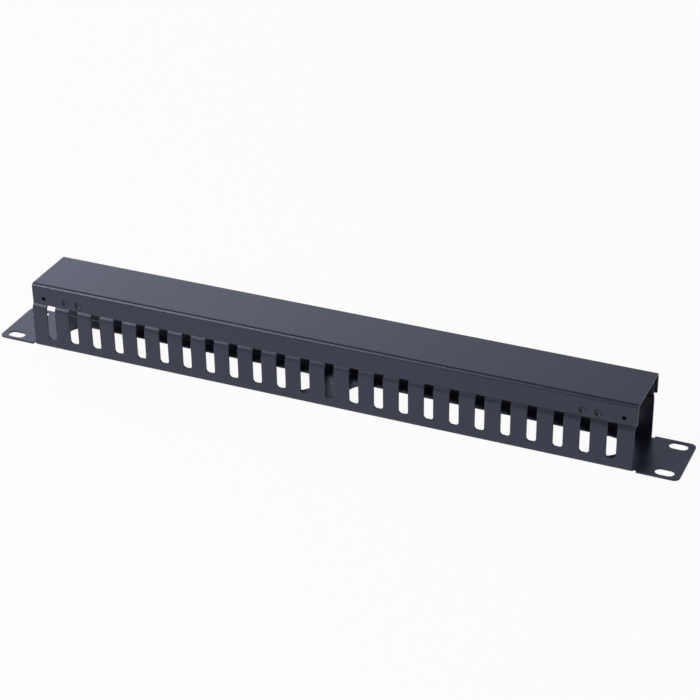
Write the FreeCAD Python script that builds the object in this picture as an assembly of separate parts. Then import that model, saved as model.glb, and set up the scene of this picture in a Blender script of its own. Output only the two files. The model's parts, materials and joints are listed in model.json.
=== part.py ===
import FreeCAD, Part
import math
import os

# Horizontal cable manager for a 19-inch rack, one rack unit high. It is two folded steel sheets:
# a duct with two slotted walls, whose base plate runs out at both ends as rack ears, and a U-shaped
# cover that pushes down over the duct's stepped-in wall tops.
#
# It lies on its back: X runs across the rack, Y from one slotted wall to the other, and +Z is the
# way that the cover comes off. The origin is the centre of the base plate's back face.

V = FreeCAD.Vector

# Driving dimensions, in millimetres --------------------------------------------------------------

# base plate and rack ears
plate_length = 482.6            # 19-inch panel width
plate_width = 44.0              # one rack unit, less the gap to the next panel
body_sheet = 1.2
ear_corner_radius = 4.0

# slots for the rack screws, two in each ear
rack_slot_end_distance = 10.5   # from the ear's end to the middle of its slots
rack_slot_spacing_y = 31.75     # outer holes of one rack unit
rack_slot_length = 12.2         # takes the rack's 465.1 mm hole spacing, with room to shift
rack_slot_width = 7.2

# duct walls
duct_length = 423.8
wall_height = 46.7              # from the plate's back face to the tips of the fingers
bend_radius = 0.5               # inside every bend of the duct
relief_width = 2.2              # notch between a wall's end and the ear
relief_depth = 2.2

# gaps between the fingers of both walls, open at the top
gap_pitch = 17.2
gap_width = 6.4
end_finger_least = 8.0          # the row of gaps stops where the end fingers would be narrower
gap_floor = 6.8
gap_corner_radius = 2.5
finger_tip_chamfer = 1.0        # the tips' corners are cut off, out of sight under the cover

# cable windows through the base plate
web_width = 23.2                # solid plate left between the two windows
window_length = 187.7
window_width = 24.4

# cover
cover_sheet = 1.0
cover_bend_radius = 1.5         # inside the cover's bends
cover_proud = 0.1               # how far each flange stands outside the duct wall
cover_overhang = 0.2            # how much each end is longer than the duct walls
cover_offset = 1.5              # nothing locates the cover endways: it sits this far towards +X
cover_seat_gap = 0.3            # under the cover's top, over the finger tips
flange_depth = 15.0
flange_corner_radius = 1.0

# step that carries the wall tops inwards, so that the flanges hang flush with the walls
step_drop = 3.8                 # from the flange's lower edge down to the start of the step
step_rise = 3.6

# dimples that grip the fingers, and a hole at each end of a flange
dimple_radius = 2.2
dimple_depth = 0.8
dimple_clearance = 0.3
dimple_height = 4.4             # above the flange's lower edge
dimple_end_distance = 25.0      # from the cover's end to the nearer dimple
dimple_pitch = 10.0
hole_diameter = 2.8
hole_height = 4.6               # above the flange's lower edge
hole_end_distance = 8.4

# Places that follow from them --------------------------------------------------------------------

rack_slot_spacing_x = plate_length - 2 * rack_slot_end_distance
gap_count = 1 + int((duct_length - 2 * end_finger_least - gap_width) // gap_pitch)
cover_top = wall_height + cover_seat_gap + cover_sheet
cover_length = duct_length + 2 * cover_overhang
cover_half_width = plate_width / 2 + cover_proud
flange_bottom = cover_top - flange_depth
step_bottom = flange_bottom - step_drop
step_top = step_bottom + step_rise
finger_face = cover_half_width - cover_sheet - dimple_depth - dimple_clearance
outer_bend_radius = bend_radius + body_sheet
past = 1.0                      # how far a cutting tool runs beyond the face that it cuts


# Shapes used by both pieces ----------------------------------------------------------------------

def rounded_line(points, radii):
    """Edges of an open line through the points, with an arc at each corner between them."""
    edges = []
    start = points[0]
    for corner, before, after, radius in zip(points[1:], points, points[2:], radii):
        back = (before - corner).normalize()
        ahead = (after - corner).normalize()
        half_turn = (math.pi - back.getAngle(ahead)) / 2
        reach = radius * math.tan(half_turn)
        to_arc = radius / math.cos(half_turn) - radius
        arc_start = corner + back * reach
        arc_middle = corner + (back + ahead).normalize() * to_arc
        arc_end = corner + ahead * reach
        edges.append(Part.LineSegment(start, arc_start).toShape())
        edges.append(Part.Arc(arc_start, arc_middle, arc_end).toShape())
        start = arc_end
    edges.append(Part.LineSegment(start, points[-1]).toShape())
    return edges


def folded_sheet(outer, sheet, inside_radius, length):
    """A sheet folded along X, with its middle at X = 0.

    outer lists (y, z) corners of the outer side, in an order that keeps the sheet on the left.
    Each bend has inside_radius on its hollow side and a concentric arc on the other.
    """
    outer = [V(-length / 2, y, z) for y, z in outer]
    runs = [(b - a).normalize() for a, b in zip(outer, outer[1:])]
    lefts = [V(0, -run.z, run.y) for run in runs]
    inner = [outer[0] + lefts[0] * sheet]
    outer_radii = []
    inner_radii = []
    for index in range(1, len(runs)):
        first = lefts[index - 1]
        second = lefts[index]
        inner.append(outer[index] + (first + second) * (sheet / (1 + first.dot(second))))
        turns_left = runs[index - 1].cross(runs[index]).x > 0
        outer_radii.append(inside_radius + sheet if turns_left else inside_radius)
        inner_radii.append(inside_radius if turns_left else inside_radius + sheet)
    inner.append(outer[-1] + lefts[-1] * sheet)
    edges = rounded_line(outer, outer_radii)
    edges += rounded_line(inner, inner_radii)
    edges.append(Part.LineSegment(outer[0], inner[0]).toShape())
    edges.append(Part.LineSegment(outer[-1], inner[-1]).toShape())
    section = Part.Face(Part.Wire(Part.__sortEdges__(edges)))
    return section.extrude(V(length, 0, 0))


def block(x_range, y_range, z_range):
    """A box between two limits along each axis."""
    low = V(x_range[0], y_range[0], z_range[0])
    size = V(x_range[1], y_range[1], z_range[1]) - low
    return Part.makeBox(size.x, size.y, size.z, low)


def edges_along(shape, direction, belongs):
    """Straight edges that run along a direction and whose middle passes the test."""
    found = []
    for edge in shape.Edges:
        if not isinstance(edge.Curve, Part.Line):
            continue
        if edge.tangentAt(edge.FirstParameter).cross(direction).Length > 1e-6:
            continue
        if belongs(edge.CenterOfMass):
            found.append(edge)
    return found


def obround_cutter(centre_x, centre_y, length, width, along):
    """A slot-shaped tool with full-round ends, through the base plate. along is its long axis."""
    across = V(0, 0, 1).cross(along)
    centre = V(centre_x, centre_y, -past)
    half = along * ((length - width) / 2)
    side = across * (width / 2)
    tip = along * (length / 2)
    edges = [
        Part.LineSegment(centre - half - side, centre + half - side).toShape(),
        Part.Arc(centre + half - side, centre + tip, centre + half + side).toShape(),
        Part.LineSegment(centre + half + side, centre - half + side).toShape(),
        Part.Arc(centre - half + side, centre - tip, centre - half - side).toShape(),
    ]
    return Part.Face(Part.Wire(edges)).extrude(V(0, 0, body_sheet + 2 * past))


# Duct body ---------------------------------------------------------------------------------------

def base_plate():
    """The plate with both ears, cut away where the walls' bends take its place."""
    half_length = plate_length / 2
    half_width = plate_width / 2
    plate = block((-half_length, half_length), (-half_width, half_width), (0, body_sheet))
    corners = edges_along(plate, V(0, 0, 1), lambda middle: True)
    plate = plate.makeFillet(ear_corner_radius, corners)
    bend_edge = half_width - outer_bend_radius
    for near, far in ((-half_width - past, -bend_edge), (bend_edge, half_width + past)):
        strip = block((-duct_length / 2, duct_length / 2), (near, far), (-past, body_sheet + past))
        plate = plate.cut(strip)
    return plate


def duct_channel():
    """The folded channel: two walls with a bend below and a step below the cover's flange."""
    half = plate_width / 2
    front = [(-finger_face, wall_height), (-finger_face, step_top), (-half, step_bottom), (-half, 0)]
    rear = [(-y, z) for y, z in reversed(front)]
    return folded_sheet(front + rear, body_sheet, bend_radius, duct_length)


def finger_gaps():
    """One tool for each pair of facing gaps, with rounded corners at the gaps' floor."""
    tools = []
    corner_radius = min(gap_corner_radius, gap_width / 2 - 0.1)
    through = (-plate_width / 2 - past, plate_width / 2 + past)
    for index in range(gap_count):
        middle_x = (index - (gap_count - 1) / 2) * gap_pitch
        sides = (middle_x - gap_width / 2, middle_x + gap_width / 2)
        tool = block(sides, through, (gap_floor, wall_height + past))
        floor_edges = edges_along(tool, V(0, 1, 0), lambda middle: middle.z < gap_floor + past)
        tools.append(tool.makeFillet(corner_radius, floor_edges))
    return tools


def plate_cutters():
    """Tools for the cable windows, the rack slots and the notches beside the walls' ends."""
    along_x = V(1, 0, 0)
    along_y = V(0, 1, 0)
    window_x = (web_width + window_length) / 2
    relief_x = (duct_length + relief_width) / 2
    tools = []
    for end in (-1, 1):
        tools.append(obround_cutter(end * window_x, 0, window_length, window_width, along_x))
        for side in (-1, 1):
            slot_x = end * rack_slot_spacing_x / 2
            slot_y = side * rack_slot_spacing_y / 2
            tools.append(obround_cutter(slot_x, slot_y, rack_slot_length, rack_slot_width, along_x))
            edge_y = side * plate_width / 2
            reach = 2 * relief_depth
            tools.append(obround_cutter(end * relief_x, edge_y, reach, relief_width, along_y))
    return tools


def make_duct_body():
    """The whole folded sheet, with the corners of the finger tips cut off last."""
    body = base_plate().fuse(duct_channel()).removeSplitter()
    body = body.cut(plate_cutters() + finger_gaps())
    tips = edges_along(body, V(0, 1, 0), lambda middle: middle.z > wall_height - 0.01)
    return body.makeChamfer(finger_tip_chamfer, tips)


# Cover -------------------------------------------------------------------------------------------

def pressed_dimple(x, side):
    """The tools of one dimple pressed inwards: the bump to add and the hollow to cut."""
    radius = (dimple_radius ** 2 + dimple_depth ** 2) / (2 * dimple_depth)
    centre_y = side * (cover_half_width + radius - dimple_depth)
    centre = V(x, centre_y, flange_bottom + dimple_height)
    reach = radius + cover_sheet
    mid_sheet = cover_half_width - cover_sheet / 2
    inside = sorted((side * mid_sheet, side * (mid_sheet - reach)))
    zone = block((x - reach, x + reach), inside, (centre.z - reach, centre.z + reach))
    bump = Part.makeSphere(reach, centre).common(zone)
    hollow = Part.makeSphere(radius, centre)
    return bump, hollow


def make_cover():
    """The U-shaped lid, with two dimples and one hole near each end of both flanges."""
    half = cover_half_width
    outer = [(half, flange_bottom), (half, cover_top), (-half, cover_top), (-half, flange_bottom)]
    cover = folded_sheet(outer, cover_sheet, cover_bend_radius, cover_length)
    corners = edges_along(cover, V(0, 1, 0), lambda middle: middle.z < flange_bottom + 0.01)
    cover = cover.makeFillet(flange_corner_radius, corners)
    bumps = []
    hollows = []
    for end in (-1, 1):
        hole_x = end * (cover_length / 2 - hole_end_distance)
        hole_start = V(hole_x, -half - past, flange_bottom + hole_height)
        hollows.append(Part.makeCylinder(hole_diameter / 2, 2 * (half + past), hole_start, V(0, 1, 0)))
        for place in range(2):
            x = end * (cover_length / 2 - dimple_end_distance - place * dimple_pitch)
            for side in (-1, 1):
                bump, hollow = pressed_dimple(x, side)
                bumps.append(bump)
                hollows.append(hollow)
    cover = cover.fuse(bumps).cut(hollows)
    cover.translate(V(cover_offset, 0, 0))
    return cover


# Export ------------------------------------------------------------------------------------------

def single_solid(shape):
    """The one solid that a folded sheet has to be."""
    assert len(shape.Solids) == 1, "a folded sheet came out in pieces"
    return shape.Solids[0]


os.makedirs("parts", exist_ok=True)
for node, shape in (("duct_body", make_duct_body()), ("cover", make_cover())):
    solid = single_solid(shape)
    solid.exportStep("parts/" + node + ".step")
    box = solid.BoundBox
    print(node, "valid", solid.isValid(), "volume", round(solid.Volume), "mm3,",
          "x", round(box.XMin, 2), round(box.XMax, 2), "y", round(box.YMin, 2), round(box.YMax, 2),
          "z", round(box.ZMin, 2), round(box.ZMax, 2))
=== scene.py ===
# %% [markdown]
# # A folded-steel cable manager
#
# A horizontal cable manager screws across the front of a server rack and keeps its patch cords
# tidy. It is made of two pieces of black powder-coated steel: a slotted duct that is folded from
# one sheet together with its rack ears, and a cover that snaps over the duct.
#
# This lesson makes both pieces the way a workshop does. A flat blank is punched, the cut edges are
# eased, the blank is folded over bend lines, and the folded sheet gets its coat of paint.

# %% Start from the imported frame
import json
import math

import bmesh
import bpy
from mathutils import Matrix, Vector


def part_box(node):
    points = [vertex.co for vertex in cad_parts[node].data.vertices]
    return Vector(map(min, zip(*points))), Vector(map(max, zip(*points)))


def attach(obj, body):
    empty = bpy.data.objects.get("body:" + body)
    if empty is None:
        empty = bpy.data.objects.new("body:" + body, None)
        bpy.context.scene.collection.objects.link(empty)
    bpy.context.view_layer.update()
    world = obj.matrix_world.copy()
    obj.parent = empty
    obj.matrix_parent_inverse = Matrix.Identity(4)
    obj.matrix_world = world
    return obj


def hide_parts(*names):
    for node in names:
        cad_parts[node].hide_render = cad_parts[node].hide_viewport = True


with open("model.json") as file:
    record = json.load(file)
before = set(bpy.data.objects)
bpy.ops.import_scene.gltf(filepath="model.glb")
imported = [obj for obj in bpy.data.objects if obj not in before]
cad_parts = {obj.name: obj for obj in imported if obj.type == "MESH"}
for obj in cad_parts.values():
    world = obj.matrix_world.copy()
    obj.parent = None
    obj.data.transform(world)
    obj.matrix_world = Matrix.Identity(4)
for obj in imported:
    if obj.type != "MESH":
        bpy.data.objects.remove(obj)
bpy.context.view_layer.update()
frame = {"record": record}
duct_low, duct_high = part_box("duct_body")
cover_low, cover_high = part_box("cover")
record = frame["record"]
openings = {opening["name"]: opening["box_m"] for opening in record["physics"]["openings"]}
mounts = {mount["name"]: mount for mount in record["mounts"]}
print("duct", [round(v * 1000, 1) for v in duct_high - duct_low], "mm")
print("cover", [round(v * 1000, 1) for v in cover_high - cover_low], "mm")

# %% [markdown]
# ## Sizes
#
# The outer sizes, the row of finger gaps and the rack slots come from the frame, so the dressed
# pieces can't drift away from the solids. What the frame doesn't tell, such as the sheet's
# thickness or a bend's radius, is named below where it is first needed. It is written in
# millimetres and turned into metres, because Blender works in metres.

# %% The unit, the gaps and the rack slots
MM = 0.001

gap_boxes = [box for name, box in sorted(openings.items()) if name.startswith("finger_gap")]
gap_middles = [(low[0] + high[0]) / 2 for low, high in gap_boxes]
gap_count = len(gap_middles)
gap_pitch = (gap_middles[-1] - gap_middles[0]) / (gap_count - 1)
rack_slots = mounts["rack_slots"]["dims"]
print(gap_count, "gaps at", round(gap_pitch / MM, 3), "mm")

# %% [markdown]
# ## Bending a sheet on paper
#
# A press brake bends a sheet around its middle layer, which neither stretches nor shrinks. So a
# folded section can be written as one line along that layer: straight runs joined by arcs. Any
# point of the flat blank then has a place on the folded part. Its distance `s` across the blank
# says how far to walk along the line, and its height `m` above the middle layer says how far to
# step aside, towards the hollow side of the U.
#
# The class below holds such a line. It is given the corners of the outer face, walked so that the
# sheet lies on the left, which is how a drawing gives them.

# %% The line across a folded sheet
class FoldLine:
    """Straight runs and arcs along the middle layer of a folded sheet, in the (y, z) plane."""

    fewest_steps = 5            # even a slight bend gets this many strips
    steep = 0.9                 # a run that climbs more than this share of its length is a wall

    def __init__(self, outer, sheet, inside_radii, steps_per_right_angle):
        outer = [Vector(corner) for corner in outer]
        runs = [(b - a).normalized() for a, b in zip(outer, outer[1:])]
        sides = [Vector((-run.y, run.x)) for run in runs]
        middle = [outer[0] + sides[0] * sheet / 2]
        for corner, first, second in zip(outer[1:], sides, sides[1:]):
            middle.append(corner + (first + second) * (sheet / 2 / (1 + first.dot(second))))
        middle.append(outer[-1] + sides[-1] * sheet / 2)
        self.steps_per_right_angle = steps_per_right_angle
        self.spans = []         # how far across each begins, its first point, length, way and turn
        self.length = 0.0
        start = middle[0]
        for index in range(1, len(runs)):
            before, after = runs[index - 1], runs[index]
            turn = math.atan2(before.cross(after), before.dot(after))
            radius = inside_radii[index - 1] + sheet / 2
            reach = radius * math.tan(abs(turn) / 2)
            self._add(start, (middle[index] - start).length - reach, before, 0.0)
            arc_start = middle[index] - before * reach
            self._add(arc_start, radius * abs(turn), before, turn)
            start = middle[index] + after * reach
        self._add(start, (middle[-1] - start).length, runs[-1], 0.0)

    def _add(self, start, length, direction, turn):
        self.spans.append((self.length, start, length, direction, turn))
        self.length += length

    def place(self, s):
        """The middle layer's (y, z) at s across the blank, the way along the line, and its side."""
        for begin, start, length, direction, turn in self.spans:
            if s <= begin + length:
                break
        side = Vector((-direction.y, direction.x))
        if not turn:
            return start + direction * (s - begin), direction, side
        angle = turn * (s - begin) / length
        cosine, sine = math.cos(angle), math.sin(angle)
        along = direction * cosine + side * sine
        aside = side * cosine - direction * sine
        return start + (side - aside) * (length / turn), along, aside

    def at_height(self, z):
        """How far across the blank the first straight run passes a height."""
        for begin, start, length, direction, turn in self.spans:
            end = start + direction * length
            is_wall = not turn and abs(direction.y) > self.steep
            if is_wall and min(start.y, end.y) <= z <= max(start.y, end.y):
                return begin + (z - start.y) / direction.y
        raise ValueError("no wall reaches that height")

    def bend_lines(self):
        """Where the blank needs an edge across it: the ends and the inner steps of every arc."""
        lines = []
        for begin, _, length, _, turn in self.spans:
            if turn:
                right_angles = abs(turn) / (math.pi / 2)
                steps = round(self.steps_per_right_angle * right_angles)
                steps = max(self.fewest_steps, steps)
                lines += [begin + length * step / steps for step in range(steps + 1)]
        return lines


bend_steps = 12
print("a right-angled bend is cut into", bend_steps, "strips")

# %% [markdown]
# ## The two sections
#
# Seen from its end, the duct is a U whose legs step inwards near the top, so that the cover's
# flanges can lie flush with the legs below. The foot of that step is a soft bend and its top is a
# tight one. The cover is a shallow U that is turned over.

# %% The lines across the duct and the cover
duct_sheet = 1.2 * MM
duct_bend = 0.5 * MM            # inside radius of the duct's tight bends
step_bend = 7.8 * MM            # and of the soft bend at the foot of the step in each wall
step_start = 29.2 * MM          # height at which the walls begin to step inwards
step_end = 32.8 * MM
finger_half = 20.0 * MM         # from the middle plane to the fingers' outer face

half_width = duct_high.y
wall_top = duct_high.z
front_wall = [(-finger_half, wall_top), (-finger_half, step_end), (-half_width, step_start)]
duct_corners = front_wall + [(-half_width, 0), (half_width, 0)]
duct_corners += [(-y, z) for y, z in reversed(front_wall)]
wall_bends = [duct_bend, step_bend, duct_bend]
duct_line = FoldLine(duct_corners, duct_sheet, wall_bends * 2, bend_steps)

cover_sheet = 1.0 * MM
cover_bend = 1.5 * MM

flange_edge = cover_low.z
cover_side = cover_high.y
cover_top = cover_high.z
cover_corners = [(cover_side, flange_edge), (cover_side, cover_top)]
cover_corners += [(-y, z) for y, z in reversed(cover_corners)]
cover_line = FoldLine(cover_corners, cover_sheet, [cover_bend] * 2, bend_steps)
print("blank of the duct", round(duct_line.length / MM, 2), "mm across, of the cover",
      round(cover_line.length / MM, 2), "mm")

# %% [markdown]
# ## Outlines for the punch
#
# A punched shape is an outline with rounded corners. One helper rounds the corners of any open
# line, and a closed shape is the same thing started in the middle of a side. All outlines lie in
# the blank's own plane: X along the part, Y across the blank.

# %% Rounded outlines
def rounded(points, radii, steps=8):
    """The points of an open line, with an arc in place of each inner corner that has a radius."""
    points = [Vector(point) for point in points]
    chain = [points[0]]
    for before, corner, after, radius in zip(points, points[1:], points[2:], radii):
        if not radius:
            chain.append(corner)
            continue
        back = (before - corner).normalized()
        ahead = (after - corner).normalized()
        half_turn = (math.pi - back.angle(ahead)) / 2
        centre = corner + (back + ahead).normalized() * (radius / math.cos(half_turn))
        start = corner + back * radius * math.tan(half_turn) - centre
        turn = 2 * half_turn * (-1 if back.cross(ahead) > 0 else 1)
        for step in range(steps + 1):
            angle = turn * step / steps
            cosine, sine = math.cos(angle), math.sin(angle)
            chain.append(centre + Vector((start.x * cosine - start.y * sine,
                                          start.x * sine + start.y * cosine)))
    chain.append(points[-1])
    return chain


def obround(length, width):
    """A closed slot shape with round ends, centred on the origin."""
    x, y = length / 2, width / 2
    corners = [(0, -y), (x, -y), (x, y), (-x, y), (-x, -y), (0, -y)]
    return rounded(corners, [y] * 4, steps=12)


window_length, window_width = 187.7 * MM, 24.4 * MM
window_outline = obround(window_length, window_width)
slot_outline = obround(rack_slots["slot_length_mm"] * MM, 2 * rack_slots["hole_r_mm"] * MM)
print("window", len(window_outline), "points, rack slot", len(slot_outline), "points")

# %% [markdown]
# ## The outlines of this part
#
# Both ends of the duct's blank are alike, and so are both of its long sides. So one end and one
# pitch of the comb are all that has to be drawn. The end's outline goes round the ear and round
# the notches beside it, which keep the wall's bend from tearing the plate.

# %% The blank's end, the comb's pitch and the cover's edge
wall_length = 423.8 * MM
gap_width = 6.4 * MM
gap_floor = 6.8 * MM            # height of the gaps' lower end
gap_corner = 2.5 * MM
finger_tip = 1.0 * MM           # the tips' corners are cut off at 45 degrees
ear_corner = 4.0 * MM
relief_width = 2.2 * MM
relief_depth = 2.2 * MM
flange_corner = 1.0 * MM

gap_depth = duct_line.at_height(gap_floor)
plate_middle = duct_line.length / 2


def duct_end():
    """The outline round the blank's right end, from one row of gaps to the other."""
    wall_end = wall_length / 2
    notch_far = wall_end + relief_width
    ear_side = plate_middle - half_width
    notch_floor = ear_side + relief_depth
    half = [(gap_count * gap_pitch / 2, 0), (wall_end - finger_tip, 0), (wall_end, finger_tip),
            (wall_end, notch_floor), (notch_far, notch_floor), (notch_far, ear_side),
            (duct_high.x, ear_side)]
    radii = [0, 0, relief_width / 2, relief_width / 2, 0, ear_corner]
    other_half = [(x, duct_line.length - y) for x, y in reversed(half)]
    return rounded(half + other_half, radii + radii[::-1])


def gap_tile():
    """One pitch of a wall's top edge: half a finger tip, a gap, half a finger tip."""
    side = gap_width / 2
    half = [(-gap_pitch / 2, 0), (-side - finger_tip, 0), (-side, finger_tip), (-side, gap_depth)]
    radii = [0, 0, gap_corner]
    other_half = [(-x, y) for x, y in reversed(half)]
    return rounded(half + other_half, radii + radii[::-1])


def cover_edge():
    """The cover's blank: a strip with eased corners."""
    low, high, across = cover_low.x, cover_high.x, cover_line.length
    middle = (low + high) / 2
    corners = [(middle, 0), (high, 0), (high, across), (low, across), (low, 0), (middle, 0)]
    return rounded(corners, [flange_corner] * 4)


print("duct end", len(duct_end()), "points, gap", len(gap_tile()), "points, cover",
      len(cover_edge()), "points")

# %% [markdown]
# ## Punching the blank
#
# On the real part a turret punch drops the same tool again and again: one finger gap, 24 times at
# one pitch along each side, then the windows and the rack slots. Geometry Nodes says exactly that.
# The outline of one pitch is instanced along a line and joined to the outline of one end, and the
# same half given half a turn closes the blank. The other tools are instanced where they strike, all
# lines are welded into closed loops, and filling the loops leaves the sheet with its openings.
#
# The tree's inputs carry the workshop's numbers, so the row can be changed without touching it.

# %% A small helper to build node trees
weld = 0.002 * MM               # points closer than this become one


def new_object(name, data):
    """A new object in the scene."""
    thing = bpy.data.objects.new(name, data)
    bpy.context.scene.collection.objects.link(thing)
    return thing


class Tree:
    """A Geometry Nodes tree with named inputs, made from the script."""

    def __init__(self, name):
        self.group = bpy.data.node_groups.new(name, "GeometryNodeTree")
        self.group.interface.new_socket("Geometry", in_out="OUTPUT",
                                        socket_type="NodeSocketGeometry")
        self.entry = self.group.nodes.new("NodeGroupInput")
        self.exit = self.group.nodes.new("NodeGroupOutput")
        self.values = {}

    def input(self, name, kind, value):
        """Adds a named input and returns its socket inside the tree."""
        socket = self.group.interface.new_socket(name, in_out="INPUT",
                                                 socket_type="NodeSocket" + kind)
        self.values[socket.identifier] = value
        return self.entry.outputs[name]

    def node(self, kind, links, **settings):
        """Adds a node, links its inputs by name and returns its first output."""
        node = self.group.nodes.new("GeometryNode" + kind)
        for name, value in settings.items():
            setattr(node, name, value)
        for name, source in links.items():
            for one in source if isinstance(source, list) else [source]:
                if isinstance(one, bpy.types.NodeSocket):
                    self.group.links.new(one, node.inputs[name])
                else:
                    node.inputs[name].default_value = one
        return node.outputs[0]

    def geometry_of(self, name, thing):
        """The geometry of an object handed in as a named input."""
        info = self.node("ObjectInfo", {"Object": self.input(name, "Object", thing)})
        return info.node.outputs["Geometry"]

    def rectangle(self, along, across, middle):
        """Four points at the corners of a rectangle round a middle point."""
        grid = self.node("MeshGrid", {"Size X": along, "Size Y": across,
                                      "Vertices X": 2, "Vertices Y": 2})
        return self.node("Transform", {"Geometry": grid, "Translation": middle})

    def strike(self, points, tool):
        """Instances a tool's outline on points."""
        return self.node("InstanceOnPoints", {"Points": points, "Instance": tool})

    def finish(self, loops, material, patches=None):
        """Fills closed loops of edges with sheet, welds patches in and gives the coat."""
        edges = self.node("JoinGeometry", {"Geometry": loops})
        edges = self.node("RealizeInstances", {"Geometry": edges})
        edges = self.node("MergeByDistance", {"Geometry": edges, "Distance": weld})
        sheet = self.node("FillCurve", {"Curve": self.node("MeshToCurve", {"Mesh": edges})})
        if patches:
            sheet = self.node("JoinGeometry", {"Geometry": [sheet] + patches})
        sheet = self.node("RealizeInstances", {"Geometry": sheet})
        sheet = self.node("MergeByDistance", {"Geometry": sheet, "Distance": weld})
        sheet = self.node("SetMaterial", {"Geometry": sheet, "Material": material})
        self.group.links.new(sheet, self.exit.inputs["Geometry"])

    def make_mesh(self):
        """Runs the tree once and returns a plain mesh."""
        holder = new_object(self.group.name, bpy.data.meshes.new(self.group.name))
        modifier = holder.modifiers.new(self.group.name, "NODES")
        modifier.node_group = self.group
        for identifier, value in self.values.items():
            modifier[identifier] = value
        bpy.context.view_layer.update()
        result = holder.evaluated_get(bpy.context.evaluated_depsgraph_get())
        mesh = bpy.data.meshes.new_from_object(result)
        bpy.data.objects.remove(holder)
        return mesh


print("tree helper ready, welding within", weld / MM, "mm")

# %% [markdown]
# ## The duct's tools
#
# The tree is handed its outlines as objects. Their meshes have edges and no faces, because the
# tree joins and welds all outlines before it fills them with sheet.

# %% The tools as objects
def edge_object(name, chain):
    """An object whose mesh is only the edges of a line."""
    mesh = bpy.data.meshes.new(name)
    edges = [(i, i + 1) for i in range(len(chain) - 1)]
    mesh.from_pydata([(x, y, 0) for x, y in chain], edges, [])
    return new_object(name, mesh)


tile = edge_object("one pitch of the comb", gap_tile())
rim = edge_object("end of the duct blank", duct_end())
window = edge_object("window tool", window_outline)
slot = edge_object("rack slot tool", slot_outline)
print("tools:", [tool.name for tool in (tile, rim, window, slot)])

# %% [markdown]
# ## The duct's blank
#
# The row of gaps is a line of points and the comb tool instanced on each. Two points carry the
# window tool, and the four corners of a rectangle carry the rack slots, which sit where the rack's
# own holes are.

# %% The duct's blank
web_width = 23.2 * MM           # of plate between the two windows
coat = bpy.data.materials.new("Black powder coat")      # a later cell gives it its look

punch = Tree("Punch the duct")
gaps = punch.input("Gaps", "Int", gap_count)
pitch = punch.input("Gap pitch", "Vector", (gap_pitch, 0, 0))
first = punch.input("First gap", "Vector", (gap_middles[0], 0, 0))
window_step = punch.input("Window spacing", "Vector", (window_length + web_width, 0, 0))
first_window = punch.input("First window", "Vector",
                           (-(window_length + web_width) / 2, plate_middle, 0))
slot_x = punch.input("Rack slot spacing along", "Float", rack_slots["spacing_x_mm"] * MM)
slot_y = punch.input("Rack slot spacing across", "Float", rack_slots["spacing_y_mm"] * MM)

row = punch.node("MeshLine", {"Count": gaps, "Start Location": first, "Offset": pitch})
half = [punch.geometry_of("End of the blank", rim),
        punch.strike(row, punch.geometry_of("Comb tool", tile))]
half = punch.node("JoinGeometry", {"Geometry": half})
turned = punch.node("Transform", {"Geometry": half, "Rotation": (0, 0, math.pi),
                                  "Translation": (0, 2 * plate_middle, 0)})
pair = punch.node("MeshLine", {"Count": 2, "Start Location": first_window, "Offset": window_step})
slots = punch.rectangle(slot_x, slot_y, (0, plate_middle, 0))
punch.finish([
    half,
    turned,
    punch.strike(pair, punch.geometry_of("Window tool", window)),
    punch.strike(slots, punch.geometry_of("Rack slot tool", slot)),
], coat)
duct_blank = punch.make_mesh()
print("duct blank:", len(duct_blank.vertices), "points,", len(duct_blank.polygons), "faces")

# %% [markdown]
# ## The cover's blank
#
# The cover is a plain strip with eased corners. Near each end of both long sides it has one round
# hole and two small dimples, which are pressed inwards and hold the cover on the duct's fingers.
# The dimples need points inside the sheet that can be pushed in later, so each one is a patch of
# rings that is welded into the punched strip.

# %% A patch of sheet for a dimple
dimple_reach = 2.5 * MM         # radius of a dimple, out to where the sheet is flat again
round_points = 32               # points round each hole and dimple
ring_crowding = 0.6             # below 1, the rings lie closer together towards the rim


def ring_patch(name, radius, rings=10, points=round_points):
    """A round patch of sheet made of rings."""
    mesh = bpy.data.meshes.new(name)
    verts = [(0, 0, 0)]
    for ring in range(1, rings + 1):
        out = radius * (ring / rings) ** ring_crowding
        for i in range(points):
            angle = 2 * math.pi * i / points
            verts.append((out * math.cos(angle), out * math.sin(angle), 0))
    faces = [(0, 1 + i, 1 + (i + 1) % points) for i in range(points)]
    for ring in range(1, rings):
        inner = 1 + (ring - 1) * points
        outer = inner + points
        for i in range(points):
            j = (i + 1) % points
            faces.append((inner + i, outer + i, outer + j, inner + j))
    mesh.from_pydata(verts, [], faces)
    return new_object(name, mesh)


patch = ring_patch("dimple patch", dimple_reach)
print("dimple patch:", len(patch.data.polygons), "faces")

# %% [markdown]
# ## Punching the cover
#
# Holes and dimples lie on rectangles round the middle of the strip, so each set is a grid of two by
# two points. The strip is punched with a hole for each dimple too, of the same radius and number of
# points as the patch, so that the patch can be welded in without a seam.

# %% The cover's blank
hole_radius = 1.4 * MM
hole_inset = 8.4 * MM           # from the cover's end to a hole
hole_height = 4.6 * MM          # from the flange's lower edge to a hole
dimple_inset = 25.0 * MM        # from the cover's end to the nearest dimple
dimple_pitch = 10.0 * MM
dimple_height = 4.4 * MM        # from the flange's lower edge to a dimple

strip = edge_object("edge of the cover blank", cover_edge())
cover_middle = ((cover_low.x + cover_high.x) / 2, cover_line.length / 2, 0)
cover_length = cover_high.x - cover_low.x

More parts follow.
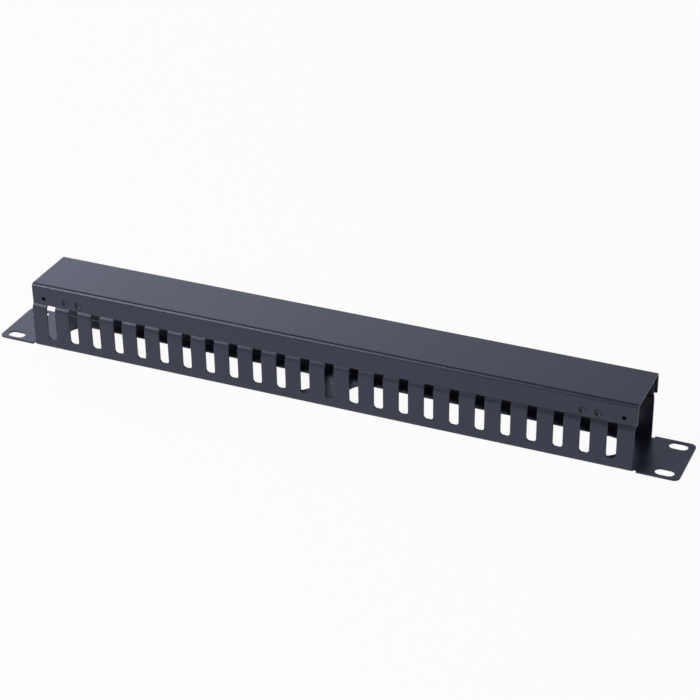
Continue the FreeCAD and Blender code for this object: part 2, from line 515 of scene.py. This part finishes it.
punch = Tree("Punch the cover")
middle = punch.input("Middle of the strip", "Vector", cover_middle)
hole_x = punch.input("Hole spacing along", "Float", cover_length - 2 * hole_inset)
hole_y = punch.input("Hole spacing across", "Float", cover_line.length - 2 * hole_height)
hole_r = punch.input("Hole radius", "Float", hole_radius)
dimple_r = punch.input("Dimple radius", "Float", dimple_reach)
dimple_y = punch.input("Dimple spacing across", "Float", cover_line.length - 2 * dimple_height)
dimple_x = [punch.input(name, "Float", cover_length - 2 * (dimple_inset + step * dimple_pitch))
            for step, name in enumerate(["Outer dimples along", "Inner dimples along"])]

holes = punch.rectangle(hole_x, hole_y, middle)
pans = [punch.rectangle(x, dimple_y, middle) for x in dimple_x]
pans = punch.node("JoinGeometry", {"Geometry": pans})
punch.finish([
    punch.geometry_of("Edge of the blank", strip),
    punch.strike(holes, punch.node("MeshCircle", {"Vertices": round_points, "Radius": hole_r})),
    punch.strike(pans, punch.node("MeshCircle", {"Vertices": round_points, "Radius": dimple_r})),
], coat, patches=[punch.strike(pans, punch.geometry_of("Dimple patch", patch))])
cover_blank = punch.make_mesh()
for tool in (tile, rim, window, slot, strip, patch):
    bpy.data.objects.remove(tool)
print("cover blank:", len(cover_blank.vertices), "points,", len(cover_blank.polygons), "faces")

# %% [markdown]
# ## From blank to sheet metal
#
# The blank is only a surface. It gets its thickness, and every cut edge gets a small round. A
# deburred edge under powder coat is never sharp: the round is what catches a thin line of light
# along each finger.
#
# Each point also remembers which way it faces, in a layer called "way". The folded mesh is shaded
# with those directions, so the flats stay perfectly flat and the bends perfectly round however the
# faces between are cut.

# %% Find the cut edges
def is_cut(edge):
    """Whether an edge has sheet on one side only."""
    return len(edge.link_faces) == 1


def ways_in(source):
    """For each point on a cut edge, the two directions that lead square from its edges inwards."""
    inward = {}
    for edge in filter(is_cut, source.edges):
        first, second = edge.verts
        normal = Vector((first.co.y - second.co.y, second.co.x - first.co.x, 0)).normalized()
        if normal.dot(edge.link_faces[0].calc_center_median() - first.co) < 0:
            normal = -normal
        for vert in edge.verts:
            inward.setdefault(vert.index, []).append(normal)
    return inward


def cut_length(blank):
    """The length of all cut edges of a blank."""
    source = bmesh.new()
    source.from_mesh(blank)
    total = sum(edge.calc_length() for edge in filter(is_cut, source.edges))
    source.free()
    return total


print("cut edges of the duct", round(cut_length(duct_blank), 2), "m, of the cover",
      round(cut_length(cover_blank), 2), "m")

# %% [markdown]
# ## Rounding the edges
#
# Solidify and Bevel modifiers could do this too, but they would know nothing of the directions
# that the points remember. Here each point of a cut edge becomes a row of points that runs round
# both rims of the edge, and every other point becomes a pair, one on each face of the sheet.

# %% Thicken the blanks
def thicken(blank, sheet, radius, steps=3):
    """A closed mesh in (x, s, m) from a blank, with its cut edges rounded on both sides."""
    source = bmesh.new()
    source.from_mesh(blank)
    source.verts.ensure_lookup_table()
    inward = ways_in(source)

    solid = bmesh.new()
    way = solid.verts.layers.float_vector.new("way")

    def add(point, m, direction):
        vert = solid.verts.new((point.x, point.y, m))
        vert[way] = direction
        return vert

    rings = {}
    face_of = {1: {}, -1: {}}
    for vert in source.verts:
        if vert.index not in inward:
            for side in (1, -1):
                face_of[side][vert.index] = add(vert.co, side * sheet / 2, Vector((0, 0, side)))
            continue
        a, b = inward[vert.index]
        step_in = (a + b) / (1 + a.dot(b))
        outward = -(a + b).normalized()
        ring = []
        for step in range(2 * (steps + 1)):
            side = 1 if step <= steps else -1
            tilt = math.pi / 2 * (steps - step if side > 0 else step - steps - 1) / steps
            point = vert.co + step_in * radius * (1 - math.cos(tilt))
            height = side * (sheet / 2 - radius + radius * math.sin(tilt))
            facing = outward * math.cos(tilt) + Vector((0, 0, side * math.sin(tilt)))
            ring.append(add(point, height, facing))
        rings[vert.index] = ring
        face_of[1][vert.index], face_of[-1][vert.index] = ring[0], ring[-1]

    for face in source.faces:
        loop = [vert.index for vert in face.verts]
        if face.normal.z < 0:
            loop.reverse()
        solid.faces.new([face_of[1][i] for i in loop])
        solid.faces.new([face_of[-1][i] for i in reversed(loop)])
    for edge in filter(is_cut, source.edges):
        a, b = (rings[vert.index] for vert in edge.verts)
        for k in range(len(a) - 1):
            solid.faces.new([a[k], a[k + 1], b[k + 1], b[k]])
    source.free()
    bmesh.ops.recalc_face_normals(solid, faces=solid.faces)
    return solid, way


edge_radius = 0.28 * MM         # how far a deburred, coated edge is rounded
duct_solid, duct_way = thicken(duct_blank, duct_sheet, edge_radius)
cover_solid, cover_way = thicken(cover_blank, cover_sheet, edge_radius)
print("duct sheet", len(duct_solid.faces), "faces, cover sheet", len(cover_solid.faces), "faces")

# %% [markdown]
# ## Pressing the dimples
#
# A dimple is a small pan with a flat middle and a steep wall. Its depth is a formula in the
# distance from its centre, so its slope is known too and tilts the direction that each point
# remembers. The press comes before the fold, while every dimple still points the same way.

# %% Press the cover's dimples
dimple_flat = 4                 # above 2, and the larger the flatter the dimple's middle
dimple_wall = 1.2               # above 1, and the larger the gentler its rim
dimple_hollow = 1.4 * MM        # depth on the outside
dimple_bump = 0.8 * MM          # height inside, which is less because the punch thins the sheet
rim_share = 0.999               # points this near the rim are on it and stay put


def press(solid, way, centres, reach, hollow, bump):
    """Pushes round dimples towards the hollow side, deeper on the outer face than on the inner."""
    for vert in solid.verts:
        depth = hollow if vert.co.z < 0 else bump
        for centre in centres:
            offset = Vector((vert.co.x - centre.x, vert.co.y - centre.y, 0))
            share = offset.length / reach
            if share < rim_share:
                pan = 1 - share ** dimple_flat
                slope = -dimple_flat * dimple_wall * depth * share ** (dimple_flat - 2)
                slope *= pan ** (dimple_wall - 1)
                vert[way] = (vert[way] - offset * slope / reach ** 2 * vert[way].z).normalized()
                vert.co.z += depth * pan ** dimple_wall


centre = Vector(cover_middle)
dimples = [centre + Vector((side * (cover_length / 2 - dimple_inset - step * dimple_pitch),
                            flank * (cover_line.length / 2 - dimple_height), 0))
           for side in (-1, 1) for flank in (-1, 1) for step in (0, 1)]
press(cover_solid, cover_way, dimples, dimple_reach, dimple_hollow, dimple_bump)
print(len(dimples), "dimples pressed")

# %% [markdown]
# ## Folding
#
# The sheet is cut across at the bend lines, so there are edges to fold over. Then each point is
# carried to its place along the fold line. The ears lie beyond the walls' ends and aren't folded
# at all: there the blank stays flat, in the plane of the base plate.

# %% Fold both sheets
cut_snap = 0.001 * MM           # a cut this near a point goes through the point


def fold(name, solid, way, line, sheet, flat_beyond=None):
    """Cuts a thick blank at the bend lines, folds it and returns the finished object."""
    for s in line.bend_lines():
        bmesh.ops.bisect_plane(solid, geom=solid.verts[:] + solid.edges[:] + solid.faces[:],
                               dist=cut_snap, plane_co=(0, s, 0), plane_no=(0, 1, 0))
    directions = []
    for vert in solid.verts:
        x, s, m = vert.co
        if flat_beyond and abs(x) > flat_beyond:
            middle = Vector((s - line.length / 2, sheet / 2))
            along, aside = Vector((1, 0)), Vector((0, 1))
        else:
            middle, along, aside = line.place(s)
        place = middle + aside * m
        facing = along * vert[way].y + aside * vert[way].z
        vert.co = (x, place.x, place.y)
        directions.append(Vector((vert[way].x, facing.x, facing.y)).normalized())
    solid.verts.layers.float_vector.remove(way)
    mesh = bpy.data.meshes.new(name)
    solid.to_mesh(mesh)
    solid.free()
    mesh.materials.append(coat)
    mesh.polygons.foreach_set("use_smooth", [True] * len(mesh.polygons))
    mesh.normals_split_custom_set_from_vertices(directions)
    return new_object(name, mesh)


ear_start = wall_length / 2 + relief_width / 2
duct = fold("folded_duct", duct_solid, duct_way, duct_line, duct_sheet, ear_start)
cover = fold("folded_cover", cover_solid, cover_way, cover_line, cover_sheet)
print("folded", duct.name, "and", cover.name)

# %% [markdown]
# ## Joining the frame
#
# Each folded sheet rides on the node of its solid, so the cover lifts when its joint moves. It
# takes that solid's place.

# %% Put both pieces in the frame
for piece, node in ((duct, "duct_body"), (cover, "cover")):
    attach(piece, node)
    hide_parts(node)
    corners = [piece.matrix_world @ Vector(corner) for corner in piece.bound_box]
    print(piece.name, len(piece.data.polygons), "faces, box",
          [round(min(c[k] for c in corners) / MM, 2) for k in range(3)],
          [round(max(c[k] for c in corners) / MM, 2) for k in range(3)])

# %% [markdown]
# ## The coat
#
# Powder coat is sprayed on dry and baked. It comes out as a tough satin skin with a very fine
# pebbled grain and a slow waviness, like orange peel. The colour is an even charcoal black. What
# tells it from plastic is the grain: it breaks up reflections along the bends.

# %% A helper for shader nodes
def shade(material, node, links=None, **settings):
    """Adds a shader node, sets its inputs by name and links those given as sockets."""
    made = material.node_tree.nodes.new("ShaderNode" + node)
    for name, value in settings.items():
        setattr(made, name, value)
    for name, value in (links or {}).items():
        if isinstance(value, bpy.types.NodeSocket):
            material.node_tree.links.new(value, made.inputs[name])
        else:
            made.inputs[name].default_value = value
    return made


print("shader helper ready")

# %% [markdown]
# ## The coat's three scales
#
# Three noises over the same coordinates do the work. The slowest lets the colour drift a little
# over a few centimetres. The middle one is the waviness, about 2 mm long, and the finest is the
# grain, about half a millimetre. Both of these are bumps, because neither would change an outline.
# The grain also varies the roughness, so no reflection is quite smooth. A painted texture could do
# the same, but it would need a flat map of each folded sheet, and noise needs none.

# %% A satin black powder coat
drift_scale, peel_scale, grain_scale = 28.0, 420.0, 2200.0
noise_low, noise_high = 0.3, 0.7                # nearly all of a noise lies between these
darker = (0.0170, 0.0190, 0.0300, 1)
lighter = (0.0205, 0.0225, 0.0345, 1)
smoother, rougher = 0.29, 0.35

coat.use_nodes = True
body = coat.node_tree.nodes["Principled BSDF"]
where = shade(coat, "TexCoord").outputs["Object"]
drift = shade(coat, "TexNoise", {"Vector": where, "Scale": drift_scale, "Detail": 3.0})
grain = shade(coat, "TexNoise", {"Vector": where, "Scale": grain_scale, "Detail": 2.0})
peel = shade(coat, "TexNoise", {"Vector": where, "Scale": peel_scale, "Detail": 1.0})
tone = shade(coat, "MapRange", {"Value": drift.outputs["Fac"],
                                "From Min": noise_low, "From Max": noise_high})
colour = shade(coat, "Mix", {"Factor": tone.outputs["Result"], 6: darker, 7: lighter},
               data_type="RGBA")
gloss = shade(coat, "MapRange", {"Value": grain.outputs["Fac"],
                                 "From Min": noise_low, "From Max": noise_high,
                                 "To Min": smoother, "To Max": rougher})
waves = shade(coat, "Bump", {"Height": peel.outputs["Fac"], "Strength": 0.12,
                             "Distance": 0.05 * MM})
pebbles = shade(coat, "Bump", {"Height": grain.outputs["Fac"], "Strength": 0.25,
                               "Distance": 0.03 * MM, "Normal": waves.outputs["Normal"]})
coat.node_tree.links.new(colour.outputs[2], body.inputs["Base Color"])
coat.node_tree.links.new(gloss.outputs["Result"], body.inputs["Roughness"])
coat.node_tree.links.new(pebbles.outputs["Normal"], body.inputs["Normal"])
body.inputs["IOR"].default_value = 1.58
body.inputs["Specular Tint"].default_value = (0.69, 0.74, 1.0, 1)
print("coat ready:", len(coat.node_tree.nodes), "nodes")

# %% [markdown]
# ## The floor
#
# The part lies on a white floor that seems to have no end. What the camera sees of it is almost all
# glow of strength 1, which is plain white, and the same holds for what the coat mirrors. The rest
# is matt paper, which takes the part's shadow. To every other ray the floor is all paper, so its
# glow puts no extra light on the part.

# %% Floor and world
scene = bpy.context.scene
scene.view_settings.view_transform = "Standard"

sky_colour = (0.88, 0.92, 1.0, 1)
sky_strength = 0.25
floor_reach = 25.0              # metres from the middle to each side
glow_share = 0.95

world = bpy.data.worlds.new("Studio")
scene.world = world
world.use_nodes = True
sky = world.node_tree.nodes["Background"]
sky.inputs["Color"].default_value = sky_colour
sky.inputs["Strength"].default_value = sky_strength

floor_mesh = bpy.data.meshes.new("floor")
floor_corners = [(-1, -1), (1, -1), (1, 1), (-1, 1)]
floor_mesh.from_pydata([(x * floor_reach, y * floor_reach, 0) for x, y in floor_corners],
                       [], [(0, 1, 2, 3)])
floor = new_object("floor", floor_mesh)

paper = bpy.data.materials.new("White paper")
paper.use_nodes = True
floor_mesh.materials.append(paper)
matt = shade(paper, "BsdfDiffuse", {"Color": (0.8, 0.8, 0.8, 1)})
glow = shade(paper, "Emission", {"Color": (1, 1, 1, 1), "Strength": 1.0})
ray = shade(paper, "LightPath")
seen = shade(paper, "Math", {0: ray.outputs["Is Camera Ray"], 1: ray.outputs["Is Glossy Ray"]},
             operation="MAXIMUM")
share = shade(paper, "Math", {0: seen.outputs[0], 1: glow_share}, operation="MULTIPLY")
mixed = shade(paper, "MixShader", {"Fac": share.outputs[0], 1: matt.outputs[0], 2: glow.outputs[0]})
surface = paper.node_tree.nodes["Material Output"].inputs["Surface"]
paper.node_tree.links.new(mixed.outputs[0], surface)
print("floor", 2 * floor_reach, "m across")

# %% [markdown]
# ## The lights
#
# A satin black part shows its shape by what it mirrors. A row of upright soft strips stands behind,
# from the left to the middle, and each is weaker than the one before. The long flat top mirrors the
# whole row, so it fades evenly from its left end to its right. A large soft light in front and to
# the left draws a line along the front bend. Nothing bright hangs straight overhead, which keeps
# that line crisp.

# %% Soft lights
light_distance = 2.0            # metres from the part
part_middle = Vector((0, 0, 0.025))
cool, warm = (0.83, 0.86, 1.0), (1.0, 0.98, 0.90)


def toward(azimuth, elevation):
    """The direction that lies at an azimuth from the front and an elevation, in degrees."""
    turn, rise = math.radians(azimuth), math.radians(elevation)
    return Vector((math.sin(turn) * math.cos(rise), -math.cos(turn) * math.cos(rise),
                   math.sin(rise)))


def softbox(name, azimuth, elevation, width, height, power, colour):
    """A soft area light that looks at the middle of the part."""
    lamp = bpy.data.lights.new(name, "AREA")
    lamp.shape = "RECTANGLE"
    lamp.size = width
    lamp.size_y = height
    lamp.energy = power
    lamp.color = colour
    thing = new_object(name, lamp)
    away = toward(azimuth, elevation)
    thing.location = part_middle + away * light_distance
    thing.rotation_euler = away.to_track_quat("Z", "Y").to_euler()


strip_count = 7
first_azimuth, azimuth_step = 231, 9            # degrees, from the left end of the row
first_power, power_step = 1.86, 0.255           # watts
for step in range(strip_count):
    softbox("back %d" % step, first_azimuth - azimuth_step * step, elevation=24, width=0.315,
            height=1.2, power=first_power - power_step * step, colour=cool)
softbox("front left", azimuth=-41, elevation=36, width=0.9, height=1.4, power=27, colour=warm)
print("lights:", strip_count, "strips at the back and one soft light in front")

# %% [markdown]
# ## The camera
#
# The part is seen from its front right and from above, with a long lens, so the row of fingers
# runs away to the left. The camera's axes are written as the columns of a matrix, because the
# slight roll is then one turn of two of them.

# %% Camera
camera_place = Vector((0.48068, -1.05059, 0.69321))
roll = math.radians(-1.007)
back = toward(azimuth=23.945, elevation=29.887)
level = Vector((0, 0, 1)).cross(back).normalized()
upright = back.cross(level)
right = level * math.cos(roll) + upright * math.sin(roll)
up = upright * math.cos(roll) - level * math.sin(roll)

lens = bpy.data.cameras.new("Camera")
lens.sensor_width = 36          # millimetres, and so is the focal length
lens.lens = 105.079
lens.clip_end = 50
camera = new_object("Camera", lens)
camera.matrix_world = Matrix((
    (right.x, up.x, back.x, camera_place.x),
    (right.y, up.y, back.y, camera_place.y),
    (right.z, up.z, back.z, camera_place.z),
    (0, 0, 0, 1)))
scene.camera = camera
print("camera at", [round(v, 3) for v in camera.location])
